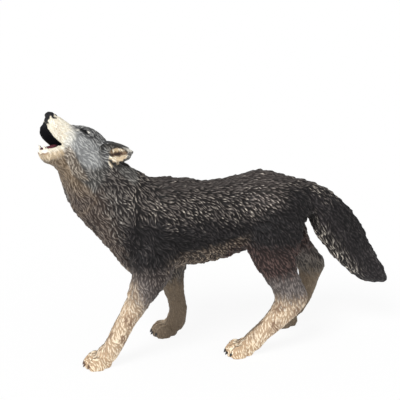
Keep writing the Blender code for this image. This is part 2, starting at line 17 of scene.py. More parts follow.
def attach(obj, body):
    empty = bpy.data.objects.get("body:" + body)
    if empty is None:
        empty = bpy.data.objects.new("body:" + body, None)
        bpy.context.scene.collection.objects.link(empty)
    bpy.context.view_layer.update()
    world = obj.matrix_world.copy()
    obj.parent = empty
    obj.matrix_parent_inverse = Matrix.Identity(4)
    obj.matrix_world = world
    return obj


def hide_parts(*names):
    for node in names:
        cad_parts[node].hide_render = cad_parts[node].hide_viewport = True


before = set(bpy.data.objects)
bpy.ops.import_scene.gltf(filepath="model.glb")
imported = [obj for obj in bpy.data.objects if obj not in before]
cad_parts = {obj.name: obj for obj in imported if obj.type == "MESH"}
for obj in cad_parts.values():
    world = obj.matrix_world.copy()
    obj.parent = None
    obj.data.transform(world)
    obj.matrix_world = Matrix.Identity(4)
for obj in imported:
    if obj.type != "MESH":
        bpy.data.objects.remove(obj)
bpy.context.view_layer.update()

MM = 0.001
BODY = "root"

# Head: where it sits, and how it is thrown back, turned and tilted, in degrees
HEAD_CENTRE = (-44.2, 0.0, 72.6)
HEAD_PITCH = 52.0
HEAD_TURN = 12.0
HEAD_ROLL = 12.0

# Face and mouth, and the head with its ears, lie ahead of these places
FACE_END = -44.0
EARS_END = -29.0

# Skin: how finely it is meshed and how much it is rounded
SKIN_VOXEL = 0.222
SKIN_ROUNDING = 12

# Hair: the gaps between strokes across and along them, a stroke's length, width and height,
# and the spread of its direction. The skin lies at SKIN_SHARE of a stroke's height.
Strokes = namedtuple("Strokes", "across along length width height spread")
CLUMPS = Strokes(1.8, 3.0, 4.2, 2.0, 0.2, 0.25)
STROKES = Strokes(0.6, 1.55, 2.1, 0.62, 0.42, 0.16)
SKIN_SHARE = 0.4
HAIR_SEED = 11

# How far the paint strays with single strokes, on the figure and in the picture
STRAY = (2.6, 0.0, 3.4)
PICTURE_STRAY = (3.0, 3.0)

# Trunk and tail: the belly's level, the tail's start and its way down as X and Z, and the
# least sum of X and Z on the tail, where the hind legs end
BELLY_LEVEL = 31.0
TAIL_START = (28.0, 58.0)
TAIL_WAY = (0.62, -0.78)
TAIL_LIMIT = 71.0

# Small pieces, placed in the head's own frame, with angles in degrees
NOSE_RADII = (1.4, 2.2, 1.75)
NOSE_PLACE = (17.1, 0.0, -2.9)
NOSE_TILT = -12.0
NOSTRIL_PLACE = (1.15, -0.1)
NOSTRIL_RADII = (0.6, 0.5)
NOSTRIL_DEPTH = 0.8
GROOVE_DEPTH = 0.25
GROOVE_WIDTH = 0.18
EYE_RADII = (1.15, 0.45, 0.36)
EYE_PLACE = (8.0, 4.6, 1.25)
EYE_SLANT = 18.0
EYE_TURN = 14.0
TONGUE_RADII = (2.4, 1.5, 0.8)
TONGUE_PLACE = (10.6, 0.3, -10.0)
GUM_RADII = (0.9, 1.7, 0.7)
GUM_PLACE = (11.4, 0.0, -12.6)
JAW_WAY = (0.39, 0.0, -0.92)
CANINE = (2.4, 0.6)
CANINE_ROOT = (11.4, 1.75, -12.6)
FRONT_TOOTH = (1.3, 0.42)
FRONT_TEETH = 6
TOOTH_LEAN = -29.0

# Claws: length and radius, the level of their roots, how steeply they point down, and how far
# each is from the paw's middle line. Each paw has its name, its front end and its middle line.
CLAW = (1.35, 0.55)
CLAW_LEVEL = 1.7
CLAW_DIP = 48.0
CLAW_OFFSETS = (-3.1, -1.1, 1.1, 3.1)
CLAW_SINK = (0.35, 0.0, 0.25)
PAWS = (
    ("left_front", -50.0, -11.6), ("right_front", -24.0, 11.6),
    ("left_hind", -2.0, -11.6), ("right_hind", 20.0, 11.6),
)
SPIKE_RINGS = 8
SPIKE_SIDES = 16

# Camera
AIM = (-5.72, 6.63, 51.34)
CAMERA_AZIMUTH = -12.0
CAMERA_ELEVATION = 15.5
CAMERA_DISTANCE = 380.0
LENS = 98.15
SENSOR = 36.0
PICTURE_SIZE = 400
PICTURE_MIDDLE = 199.5

# Light: the sky's strength, and each lamp's name, strength, softness in degrees and the way to it
SKY = 0.5
LAMPS = (("key", 2.2, 25.0, (-0.55, -0.6, 0.8)), ("fill", 0.45, 60.0, (0.5, -0.8, 0.5)))
FLOOR_WHITE = 0.95
FLOOR_GLOW = 0.9
FLOOR_HALF_METRES = 4.0

# Outlines on the head, as the camera sees its left side in a picture 400 wide and 400 high.
# Both sides are painted with them.
NOSE_OUTLINE = (
    (40.0, 124.4), (40.0, 108.0), (52.0, 108.0), (53.6, 113.6), (53.2, 116.4), (56.4, 117.2),
    (56.2, 118.2), (52.8, 118.2), (51.2, 117.0), (50.6, 115.2), (49.4, 115.6), (49.2, 118.0),
    (47.0, 120.2), (45.4, 121.8), (44.4, 124.4),
)
PALE_OUTLINE = (
    (36.0, 106.0), (66.0, 106.0), (72.5, 126.0), (75.0, 131.0), (74.0, 138.0), (70.0, 146.0),
    (67.0, 151.0), (64.0, 156.0), (58.0, 160.0), (48.0, 162.5), (36.0, 160.0),
)
MUZZLE_OUTLINE = (
    (36.0, 106.0), (64.0, 106.0), (69.5, 124.5), (69.0, 130.0), (66.0, 136.0), (63.5, 141.0),
    (62.5, 147.0), (60.5, 149.6), (54.0, 151.4), (47.0, 151.4), (36.0, 149.4),
)
CHIN_OUTLINE = (
    (36.0, 149.4), (47.0, 151.4), (55.0, 151.0), (61.0, 148.0), (65.0, 151.0), (62.0, 156.0),
    (54.0, 160.0), (47.0, 160.5), (38.0, 160.0),
)
THROAT_OUTLINE = (
    (36.0, 158.4), (46.0, 159.6), (53.0, 158.8), (59.0, 156.0), (64.0, 153.0), (70.0, 166.0),
    (77.0, 178.0), (88.0, 188.0), (96.0, 200.0), (80.0, 215.0), (50.0, 190.0),
)
RUFF_OUTLINE = (
    (63.0, 147.0), (69.0, 146.0), (74.0, 152.0), (78.0, 162.0), (84.0, 172.0), (88.0, 179.0),
    (80.0, 179.0), (72.0, 175.0), (69.0, 166.0), (64.0, 157.0),
)
CHEEK_OUTLINE = (
    (69.0, 127.0), (80.0, 131.0), (92.0, 138.0), (101.0, 149.0), (104.0, 158.0), (99.0, 168.0),
    (89.0, 168.0), (81.0, 163.0), (75.0, 153.0), (69.0, 146.0),
)
BROW_OUTLINE = (
    (68.0, 116.0), (72.0, 127.5), (77.0, 131.5), (84.0, 135.5), (92.0, 139.5), (99.0, 147.0),
    (103.0, 154.0), (103.0, 166.0), (110.0, 168.0), (112.0, 138.0), (94.0, 122.0), (80.0, 116.0),
)
EYE_OUTLINE = (
    (79.0, 127.4), (82.6, 128.0), (85.8, 129.6), (87.4, 131.0), (88.6, 133.8), (86.0, 133.6),
    (82.8, 131.8), (79.6, 129.8),
)
# Painted highlights on the eye: a pale glint at its front corner and a white glint at its rear corner
EYE_FRONT_GLINT = ((75.4, 128.6), (78.6, 128.6), (79.2, 130.0), (76.0, 130.2))
EYE_REAR_GLINT = ((86.4, 130.4), (89.0, 131.2), (90.0, 132.8), (87.8, 132.8))
GUM_OUTLINE = ((41.0, 147.4), (44.6, 146.6), (45.8, 148.2), (44.4, 149.4), (40.6, 149.4))
TEETH_OUTLINE = (
    (40.0, 149.6), (44.0, 149.4), (46.8, 148.8), (47.4, 151.6), (44.4, 152.6), (40.8, 152.4),
)
LIP_OUTLINE = (
    (40.6, 152.6), (44.6, 153.0), (47.6, 151.8), (48.4, 152.8), (44.8, 154.2), (40.8, 153.8),
)
EAR_HOLLOW = (
    (109.0, 153.0), (111.0, 148.8), (117.5, 147.2), (124.5, 149.6), (127.0, 152.4), (125.0, 155.2),
    (118.0, 156.0), (112.0, 156.0),
)
EAR_BAND = (
    (110.0, 152.6), (114.0, 152.8), (120.5, 151.6), (122.0, 153.6), (119.0, 155.0), (112.0, 155.4),
)
EAR_TUFT = (
    (111.6, 149.6), (115.0, 147.8), (120.0, 148.2), (124.4, 150.2), (121.6, 151.2), (118.4, 150.4),
    (117.0, 151.8), (115.2, 151.0), (113.2, 152.6),
)
EAR_FUR = (
    (106.6, 152.6), (109.0, 155.4), (112.0, 156.4), (115.0, 155.6), (119.0, 156.4), (122.0, 154.8),
    (127.4, 154.6), (125.6, 158.0), (123.4, 158.4), (122.0, 160.8), (119.4, 160.6), (118.4, 163.6),
    (116.0, 164.4), (114.6, 161.6), (112.4, 162.0), (111.2, 158.8), (108.4, 158.6),
)
EAR_EDGE = ((122.0, 147.0), (128.0, 148.0), (133.0, 150.2), (131.0, 151.8), (127.0, 150.6))
EAR_STREAK = ((107.4, 160.6), (109.2, 160.8), (112.2, 165.2), (111.8, 168.0), (109.2, 165.4))
EAR_SHADOW = (
    (110.5, 161.0), (119.0, 162.0), (128.0, 160.0), (127.0, 165.4), (119.0, 168.8), (112.0, 168.4),
)
SPECKS = (
    (55.0, 125.0), (57.5, 126.0), (56.0, 128.4), (59.4, 129.6), (58.6, 132.6), (61.6, 133.4),
    (60.4, 136.8),
)
# The front of the right upper lip, as the camera sees it
FAR_LIP = (
    (36.0, 121.4), (44.4, 121.4), (45.6, 123.8), (47.0, 127.0), (45.0, 130.0), (41.0, 137.0),
    (36.0, 137.0),
)
# Parts of the head that are moved within the picture, and how far each is moved
LOWER_LIP = ((44.0, 149.5), (52.0, 148.5), (58.0, 146.5), (59.0, 149.0), (53.0, 153.0), (45.0, 154.0))
CHIN_TIP = ((33.0, 147.0), (41.0, 148.0), (42.0, 160.0), (35.0, 162.0))
EAR_TIP = ((130.0, 146.0), (139.0, 148.0), (139.0, 156.0), (130.0, 157.0))
MOVES = ((LOWER_LIP, (0.0, -2.2)), (CHIN_TIP, (2.6, 0.0)), (EAR_TIP, (-2.6, 0.6)))
MOVE_SOFTNESS = 2.5
# Moves in the head's frame: the front of the nose goes back, the right upper lip down and ahead
NOSE_MOVE = (-0.65, 0.0, 0.62)
LIP_DROP = 0.62
LIP_AHEAD = 0.25

# Paint: deep in the hair, partly the figure's own dark paint and partly painted shade in the grooves,
# on the hair, and dry-brushed on its tips
COAT = ((22, 20, 19), (92, 85, 81), (226, 216, 200))
SPINE = ((46, 41, 39), (82, 76, 73), (120, 112, 106))
SHADE = ((14, 12, 13), (38, 35, 36), (112, 105, 100))
RUMP = ((34, 31, 29), (98, 90, 86), (236, 224, 212))
RUFF = ((36, 33, 32), (103, 97, 92), (208, 202, 192))
NECK = ((60, 59, 57), (116, 113, 109), (206, 202, 194))
FACE = ((126, 127, 127), (172, 173, 171), (222, 221, 215))
BROW = ((66, 66, 67), (146, 146, 144), (230, 228, 222))
PALE = ((190, 187, 178), (226, 223, 214), (242, 240, 230))
MUZZLE = ((228, 219, 198), (246, 240, 224), (255, 252, 242))
CHIN = ((186, 166, 138), (220, 202, 174), (240, 226, 200))
THROAT = ((98, 83, 66), (146, 129, 109), (196, 182, 163))
CHEEK = ((92, 83, 74), (156, 146, 133), (246, 240, 228))
CHEST = ((56, 47, 42), (108, 97, 89), (186, 172, 158))
BELLY = ((48, 40, 35), (108, 96, 85), (214, 196, 172))
THIGH = ((38, 28, 26), (84, 66, 62), (146, 122, 112))
HOCK = ((80, 74, 72), (124, 116, 112), (182, 174, 167))
FOREARM = ((52, 45, 43), (92, 84, 80), (190, 178, 166))
SHANK = ((182, 157, 130), (240, 221, 194), (255, 250, 234))
SHANK_PATCH = ((116, 90, 72), (168, 140, 114), (240, 220, 192))
PAW = ((190, 162, 132), (250, 232, 202), (255, 252, 238))
INNER_HOCK = ((62, 58, 56), (110, 103, 95), (160, 150, 138))
INNER_LEG = ((114, 100, 84), (126, 111, 93), (142, 127, 109))
TAIL = ((25, 22, 23), (47, 43, 44), (140, 132, 129))
TAIL_EDGE = ((20, 18, 17), (62, 57, 54), (248, 238, 222))
EAR_BACK = ((66, 64, 62), (112, 110, 106), (206, 202, 194))
EAR_INSIDE = ((104, 84, 66), (150, 128, 104), (204, 186, 160))
EAR_DEEP = ((44, 31, 25), (72, 53, 42), (96, 74, 58))
PALE_FUR = ((206, 186, 156), (250, 242, 222), (255, 252, 238))
MOUTH = ((16, 16, 20), (24, 25, 30), (32, 33, 38))
GUM = ((84, 40, 54), (112, 62, 74), (140, 84, 92))
HORN = (44, 41, 41)
BROWN_HORN = (104, 80, 62)
NOSE = ((26, 26, 29), (42, 42, 46), (74, 74, 78))
SPECK = ((206, 176, 152), (210, 182, 158), (214, 190, 166))
LIP_LINE = ((150, 118, 92), (160, 128, 100), (170, 138, 110))
# White, for the painted glint at the rear corner of each eye and for the front teeth
DAB = ((250, 246, 236), (250, 246, 236), (250, 246, 236))
SLIT = ((10, 10, 12), (14, 14, 16), (20, 20, 22))
EYE = (14, 11, 10)
TOOTH = (246, 238, 220)
TONGUE = (108, 58, 66)


# Small helpers
def smooth(low, high, value):
    """0 below low, 1 above high, and a smooth step between. Low may be the larger one."""
    share = np.clip((value - low) / (high - low), 0.0, 1.0)
    return share * share * (3 - 2 * share)


def linear(colour):
    """A display colour as Blender's linear colour."""
    values = np.asarray(colour, float) / 255
    return np.where(values <= 0.04045, values / 12.92, ((values + 0.055) / 1.055) ** 2.4)


def head_frame():
    """Turns the head's own frame into the figure's. In it X points from the nape to the nose,
    Y to the wolf's left and Z up through the crown."""
    pitch, turn, roll = (math.radians(a) for a in (HEAD_PITCH, HEAD_TURN, HEAD_ROLL))
    flat = math.cos(pitch)
    ahead = Vector((-flat * math.cos(turn), -flat * math.sin(turn), math.sin(pitch)))
    left = Vector((math.sin(turn), -math.cos(turn), 0.0))
    crown = ahead.cross(left)
    tilted = left * math.cos(roll) + crown * math.sin(roll)
    crown = crown * math.cos(roll) - left * math.sin(roll)
    place = Matrix((ahead, tilted, crown)).transposed().to_4x4()
    place.translation = Vector(HEAD_CENTRE)
    return place


HEAD = head_frame()
HEAD_AXES = np.array(HEAD.to_3x3())


def in_head(points):
    """Points of the figure, in the head's frame."""
    return (points - np.array(HEAD.translation)) @ HEAD_AXES


def camera_frame():
    """The camera's place, with its own X to the right, Y up and Z back."""
    azimuth = math.radians(CAMERA_AZIMUTH)
    elevation = math.radians(CAMERA_ELEVATION)
    back = Vector((math.sin(azimuth), -math.cos(azimuth), 0.0)) * math.cos(elevation)
    back.z = math.sin(elevation)
    place = back.to_track_quat("Z", "Y").to_matrix().to_4x4()
    place.translation = Vector(AIM) + back * CAMERA_DISTANCE
    return place


def in_picture(points, mirrored=True):
    """Where the camera sees points of the head. When mirrored, each point of its right half is
    first moved to the same place on its left half."""
    local = in_head(points)
    if mirrored:
        local[:, 1] = abs(local[:, 1])
    place = camera_frame()
    there = local @ HEAD_AXES.T + np.array(HEAD.translation)
    seen = (there - np.array(place.translation)) @ np.array(place.to_3x3())
    scale = LENS / SENSOR * PICTURE_SIZE / -seen[:, 2]
    columns = (PICTURE_MIDDLE + scale * seen[:, 0], PICTURE_MIDDLE - scale * seen[:, 1])
    return np.column_stack(columns)


def within(place, outline, soft):
    """1 inside an outline drawn in the picture, 0 outside it, with so soft an edge."""
    corners = np.array(outline, float)
    nearest = np.full(len(place), 1e9)
    inside = np.zeros(len(place), bool)
    for start, end in zip(corners, np.roll(corners, -1, axis=0)):
        edge = end - start
        share = np.clip((place - start) @ edge / (edge @ edge), 0, 1)
        nearest = np.minimum(nearest, np.linalg.norm(place - start - share[:, None] * edge, axis=1))
        crosses = (start[1] > place[:, 1]) != (end[1] > place[:, 1])
        rise = edge[1] if abs(edge[1]) > 1e-9 else 1e-9
        inside ^= crosses & (place[:, 0] < start[0] + (place[:, 1] - start[1]) / rise * edge[0])
    return smooth(-soft, soft, np.where(inside, nearest, -nearest))


def object_of(mesh, name):
    """A new object of the scene, with this mesh."""
    thing = bpy.data.objects.new(name, mesh)
    bpy.context.scene.collection.objects.link(thing)
    return thing


def apply_modifiers(thing):
    """Works the object's modifiers into its mesh."""
    bpy.context.view_layer.update()
    graph = bpy.context.evaluated_depsgraph_get()
    mesh = bpy.data.meshes.new_from_object(thing.evaluated_get(graph))
    old = thing.data
    thing.modifiers.clear()
    thing.data = mesh
    bpy.data.meshes.remove(old)


def coordinates(mesh, what="co"):
    """The places of a mesh's vertices, or with "normal" their normals, as rows."""
    values = np.empty(len(mesh.vertices) * 3)
    mesh.vertices.foreach_get(what, values)
    return values.reshape(-1, 3)


def moved_to(mesh, points):
    """Sets the places of a mesh's vertices."""
    mesh.vertices.foreach_set("co", points.ravel())
    mesh.update()


def linked_mean(mesh):
    """A function that gives each vertex the mean of its neighbours' values."""
    count = len(mesh.vertices)
    edges = np.empty(len(mesh.edges) * 2, np.int64)
    mesh.edges.foreach_get("vertices", edges)
    here, there = edges.reshape(-1, 2).T
    ends = np.bincount(here, minlength=count) + np.bincount(there, minlength=count)

    def mean(values):
        columns = []
        for column in values.T:
            total = np.bincount(here, column[there], count)
            total += np.bincount(there, column[here], count)
            columns.append(total / ends)
        return np.array(columns).T

    return mean


def rounded(points, mean, rounds):
    """Smooths away facets without shrinking the form."""
    for _ in range(rounds):
        points = points + 0.5 * (mean(points) - points)
        points = points - 0.52 * (mean(points) - points)
    return points


# The coat
def hair_way(points):
    """The way that the hair lies at each point."""
    x, _, z = points.T
    ahead, _, crown = in_head(points).T
    face_way = -HEAD_AXES[:, 0]
    way = np.tile(np.array([1.0, 0.0, -0.18]), (len(points), 1))
    low_belly = smooth(BELLY_LEVEL + 8, BELLY_LEVEL + 3, z)
    layers = (
        (smooth(59, 54, z), (1.0, 0.0, -0.95)),
        (smooth(-8, -16, x) * smooth(54, 48, z), (1.0, 0.0, -0.25)),
        (smooth(-20, -28, x) * smooth(36, 44, z), (0.55, 0.0, -0.85)),
        (smooth(-12, -20, x) * smooth(46, 38, z), (0.3, 0.0, -1.0)),
        (low_belly * smooth(-20, -14, x) * smooth(14, 8, x), (-0.6, 0.0, -0.8)),
        (smooth(6, 12, x) * smooth(50, 42, z), (0.6, 0.0, -0.9)),
        (smooth(BELLY_LEVEL + 2, BELLY_LEVEL - 5, z), (0.25, 0.0, -1.0)),
        (smooth(28, 34, x) * of_tail(points), (TAIL_WAY[0], 0.0, TAIL_WAY[1])),
        (smooth(-38, -43, x) * smooth(60, 66, z), face_way),
        (smooth(-5, -9, crown) * smooth(10, 3, ahead) * smooth(-38, -43, x), (0.45, 0.0, -0.9)),
    )
    for share, other in layers:
        way += share[:, None] * (np.array(other) - way)
    under_tail = (x > 33) & (across_tail(points) < -1)
    way[under_tail] = (0.38, 0.0, -0.92)
    swirl = 0.5 * np.sin(0.55 * x + 0.4 * z + 1.0) * np.cos(0.5 * z - 0.35 * x)
    swirl *= 0.5 + 0.8 * smooth(-18, -26, x)
    turned = way.copy()
    turned[:, 0] = way[:, 0] * np.cos(swirl) - way[:, 2] * np.sin(swirl)
    turned[:, 2] = way[:, 0] * np.sin(swirl) + way[:, 2] * np.cos(swirl)
    return turned


def of_tail(points):
    """Whether each point lies behind the limit between the hind legs and the tail."""
    return points[:, 0] + points[:, 2] > TAIL_LIMIT


def across_tail(points):
    """How far above the tail's middle line a point lies."""
    x, _, z = points.T
    return (x - TAIL_START[0]) * -TAIL_WAY[1] + (z - TAIL_START[1]) * TAIL_WAY[0]


def along_tail(points):
    """How far down the tail a point lies."""
    x, _, z = points.T
    return (x - TAIL_START[0]) * TAIL_WAY[0] + (z - TAIL_START[1]) * TAIL_WAY[1]


def of_head(points):
    """1 on the head in front of the ears and the cheeks, 0 on the neck."""
    ahead, side, crown = in_head(points).T
    back = np.where(crown < 0, -7.5 + 0.25 * (crown + 8), -5.5 + 0.8 * crown)
    share = smooth(back - 1.5, back + 1.5, ahead) * smooth(-33, -36, points[:, 0])
    far_neck = smooth(-2, -6, side) * smooth(-13, -18, crown)
    return share * smooth(53, 57, points[:, 2]) * (1 - far_neck)


def of_ear(points):
    """1 on the two ears."""
    ahead, side, crown = in_head(points).T
    out = abs(side) + 0.55 * crown
    length = smooth(0.4, -1.0, ahead) * smooth(-17.0, -14.5, ahead)
    return smooth(7.15, 7.45, out) * smooth(-0.6, 0.2, crown) * length * (points[:, 0] < EARS_END)


def jaw_level(ahead, crown):
    """A point's level in the head's frame, along the slope of the open lower jaw."""
    return crown + 0.42 * (ahead - 9.4)


def inside_mouth(points, normals):
    """Two shares: 1 on the inner sides of the mouth, and 1 at the level of the lower jaw."""
    ahead, side, crown = in_head(points).T
    to_middle = np.array((13.0, 0.0, -9.0)) - in_head(points)
    to_middle /= np.linalg.norm(to_middle, axis=1)[:, None]
    facing = np.sum(to_middle * (normals @ HEAD_AXES), axis=1)
    lower = smooth(-7.6, -8.6, jaw_level(ahead, crown))
    near = (ahead > 1.0) * (ahead < 18.8) * (crown < -4.6) * (crown > -15.0) * (abs(side) < 3.4)
    inside = smooth(-0.15, 0.1, facing) * (1 - lower) + smooth(0.2, 0.45, facing) * lower
    return inside * near * (points[:, 0] < FACE_END), lower


def hair_share(points, normals):
    """How deep the coat is carved: none on soles, nose and mouth, fully on the body."""
    ahead = in_head(points)[:, 0]
    share = 0.4 + 0.6 * smooth(24, 42, points[:, 2])
    share *= 1 - 0.65 * smooth(0.3, 0.8, normals[:, 2]) * smooth(46, 54, points[:, 2])
    share *= 1 - 0.3 * smooth(31, 35, points[:, 0]) * smooth(-1, 1, across_tail(points))
    share *= smooth(0.1, 1.0, points[:, 2])
    face = 0.05 + 0.45 * smooth(12, 2, ahead)
    share += of_head(points) * (face - share)
    share += of_ear(points) * (0.3 - share)
    inside, _ = inside_mouth(points, normals)
    place = in_picture(points)
    near = points[:, 0] < FACE_END
    share *= 1 - near * within(place, NOSE_OUTLINE, 0.6)
    share *= 1 - near * within(place, EYE_OUTLINE, 1.5)
    return share * (1 - inside)


def hair_size(points):
    """How large the strokes are: smaller on the head and on the legs."""
    size = 0.94 + 0.06 * smooth(16, 30, points[:, 2])
    return size + of_head(points) * (0.92 - size)


def hair_stretch(points):
    """How much longer the strokes are: on the lower edge of the tail and on the neck."""
    x, _, z = points.T
    under_tail = smooth(31, 34, x) * smooth(0, -3, across_tail(points))
    return 1 + 0.7 * under_tail + 0.15 * smooth(-18, -26, x) * smooth(36, 44, z)


def spaced_seeds(points, lies, asides, size, scale, tree, rng):
    """Points that lie at least the strokes' gaps apart, in a shuffled order."""
    free = np.ones(len(points), bool)
    seeds = []
    for i in rng.permutation(len(points)):
        if free[i]:
            seeds.append(i)
            found = tree.find_range(points[i], size.along * scale[i])
            near = np.array([index for _, index, _ in found])
            offset = points[near] - points[i]
            reach = (offset @ lies[i] / size.along) ** 2 + (offset @ asides[i] / size.across) ** 2
            free[near[reach < scale[i] ** 2]] = False
            free[i] = False
    return seeds


def carve(points, normals, way, share, scale, stretch, tree, size, rng):
    """Height of the hair, from 0 to 1, how near each point is to the ridge of its stroke, and
    that stroke's tone."""
    lies = way - normals * np.sum(way * normals, axis=1)[:, None]
    lies /= np.linalg.norm(lies, axis=1)[:, None] + 1e-9
    asides = np.cross(normals, lies)
    rise = np.zeros(len(points))
    ridge = np.zeros(len(points))
    tone = np.full(len(points), 0.3)
    for seed in spaced_seeds(points, lies, asides, size, scale, tree, rng):
        if share[seed] <= 0.01:
            continue
        own_length = size.length * scale[seed] * stretch[seed] * rng.uniform(0.7, 1.3)
        own_width = size.width * scale[seed] * rng.uniform(0.85, 1.15)
        own_height = rng.uniform(0.6, 1.0)
        own_tone = rng.uniform()
        lie = lies[seed] + asides[seed] * rng.normal(0.0, size.spread)
        aside = np.cross(normals[seed], lie)
        middle = points[seed] + lie * own_length / 2
        found = tree.find_range(middle, own_length * 0.58)
        near = np.array([index for _, index, _ in found])
        if len(near) == 0:
            continue
        offset = points[near] - points[seed]
        along = offset @ lie / own_length
        bend = rng.normal(0.0, 0.12) * own_length
        across = (offset @ aside - bend * along * along) / (own_width / 2 * (1.15 - 0.5 * along))
        slope = np.clip(np.where(along < 0.6, along / 0.6, (1 - along) / 0.4), 0, 1)
        crest = np.clip(1 - across * across, 0, 1) * slope ** 0.6
        crest *= normals[near] @ normals[seed] > 0.2
        higher = crest * own_height > rise[near]
        rise[near[higher]] = crest[higher] * own_height
        ridge[near[higher]] = crest[higher]
        tone[near[higher]] = own_tone
    return rise, ridge, tone


def sculpted(points, normals):
    """The points with the head's finer forms: eyes under their lids, hollow and tufted ears, and
    the parts that are moved."""
    place = in_picture(points)
    near = points[:, 0] < EARS_END
    ear = of_ear(points) * smooth(0.0, 0.35, facing_camera(points, normals))
    eye = within(place, EYE_OUTLINE, 1.2)
    lid = within(place + np.array((-0.6, 2.2)), EYE_OUTLINE, 1.2)
    below = within(place + np.array((0.8, -2.4)), EYE_OUTLINE, 1.4)
    rise = of_head(points) * (0.4 * lid + 0.2 * below - 0.3 * eye)
    rise = rise + ear * (0.35 * within(place, EAR_FUR, 1.0) - 0.8 * within(place, EAR_HOLLOW, 1.6))
    rise = rise + ear * 0.5 * within(place, EAR_TUFT, 0.8)
    for outline, (right, down) in MOVES:
        way = picture_way(points, (right, -down, 0.0)) * CAMERA_DISTANCE * SENSOR / PICTURE_SIZE / LENS
        points = points + way * (within(place, outline, MOVE_SOFTNESS) * near)[:, None]
    return points + normals * (rise * near)[:, None] + mouth_front(points)


def mouth_front(points):
    """Moves that set the front of the nose back and let the right upper lip hang lower."""
    ahead, side, crown = in_head(points).T
    near = points[:, 0] < FACE_END
    front = smooth(16.2, 18.0, ahead) * smooth(-3.4, -4.8, crown) * smooth(-7.4, -6.4, crown) * near
    above_jaw = smooth(-8.8, -7.8, jaw_level(ahead, crown))
    lip = smooth(0.3, -1.2, side) * smooth(5.0, 8.5, ahead) * smooth(18.6, 16.4, ahead)
    lip *= smooth(-3.0, -6.0, crown) * above_jaw * near
    moves = front[:, None] * np.array(NOSE_MOVE) + lip[:, None] * np.array((0.0, 0.0, -LIP_DROP))
    moves[:, 0] += LIP_AHEAD * lip * smooth(14.5, 16.5, ahead)
    return moves @ HEAD_AXES.T


def picture_way(points, way):
    """A way in the camera's frame, for points of each side of the head."""
    out = np.array(camera_frame().to_3x3() @ Vector(way))
    ways = np.tile(out @ HEAD_AXES, (len(points), 1))
    ways[:, 1] *= np.sign(in_head(points)[:, 1])
    return ways @ HEAD_AXES.T


def facing_camera(points, normals):
    """How far the surface of each side of the head faces the camera, from -1 to 1."""
    return np.sum(normals * picture_way(points, (0.0, 0.0, 1.0)), axis=1)


REGIONS = ("head", "shoulders", "forelegs", "barrel", "rump", "hind_legs", "tail")


def region_of(points):
    """The number in REGIONS of the region that each point belongs to."""
    x, _, z = points.T
    regions = (
        ("head", (x < -34) & (z > 52)),
        ("tail", (x > 29) & of_tail(points)),
        ("forelegs", (x < -4) & (z < 36)),
        ("shoulders", x < -14),
        ("barrel", x < 7),
        ("hind_legs", z < 34),
    )
    numbers = [REGIONS.index(name) for name, _ in regions]
    return np.select([inside for _, inside in regions], numbers, REGIONS.index("rump"))


def carved_skin():
    """The figure's own surface with its hair carved in strokes: its points and faces, the
    points' normals, and how high on a stroke each lies and how brightly that is painted."""
    source = object_of(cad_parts["wolf_figurine"].data.copy(), "skin_source")
    remesh = source.modifiers.new("skin", "REMESH")
    remesh.mode = "VOXEL"
    remesh.voxel_size = SKIN_VOXEL * MM
    apply_modifiers(source)
    mesh = source.data
    points = rounded(coordinates(mesh) / MM, linked_mean(mesh), SKIN_ROUNDING)
    moved_to(mesh, points * MM)
    points = sculpted(points, coordinates(mesh, "normal"))
    moved_to(mesh, points * MM)
    normals = coordinates(mesh, "normal")
    rng = np.random.default_rng(HAIR_SEED)
    share = hair_share(points, normals)
    scale = hair_size(points)
    stretch = hair_stretch(points)
    way = hair_way(points)
    tree = kdtree.KDTree(len(points))
    for i, point in enumerate(points):
        tree.insert(point, i)
    tree.balance()
    clump, _, _ = carve(points, normals, way, share, scale, stretch, tree, CLUMPS, rng)
    stroke, ridge, tone = carve(points, normals, way, share, scale, stretch, tree, STROKES, rng)
    lift = (clump - SKIN_SHARE) * CLUMPS.height * share + (stroke - SKIN_SHARE) * STROKES.height * share
    points = points + normals * lift[:, None]
    points[:, 2] = np.maximum(points[:, 2], 0.0)
    moved_to(mesh, points * MM)
    normals = coordinates(mesh, "normal")
    quads = np.empty(len(mesh.loops), np.int64)
    mesh.loops.foreach_get("vertex_index", quads)
    crest = ridge * (0.8 + 0.2 * clump)
    bpy.data.objects.remove(source)
    return points, quads.reshape(-1, 4), normals, crest, tone


def skin_piece(name, keep, skin, layers, material):
    """The faces of the skin that are kept, with the whole skin's normals and paint."""
    points, quads, normals, _, _ = skin
    used, faces = np.unique(quads[keep], return_inverse=True)
    mesh = bpy.data.meshes.new(name)
    mesh.from_pydata((points[used] * MM).tolist(), [], faces.reshape(-1, 4).tolist())
    mesh.shade_smooth()
    mesh.normals_split_custom_set_from_vertices(normals[used].tolist())
    for layer, values in layers.items():
        if values.ndim == 1:
            attribute = mesh.attributes.new(layer, "FLOAT", "POINT")
            attribute.data.foreach_set("value", values[used])
        else:
            colours = np.column_stack([values[used], np.ones(len(used))])
            attribute = mesh.attributes.new(layer, "FLOAT_COLOR", "POINT")
            attribute.data.foreach_set("color", colours.ravel())
    mesh.materials.append(material)
    piece = object_of(mesh, name)
    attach(piece, BODY)
    return piece


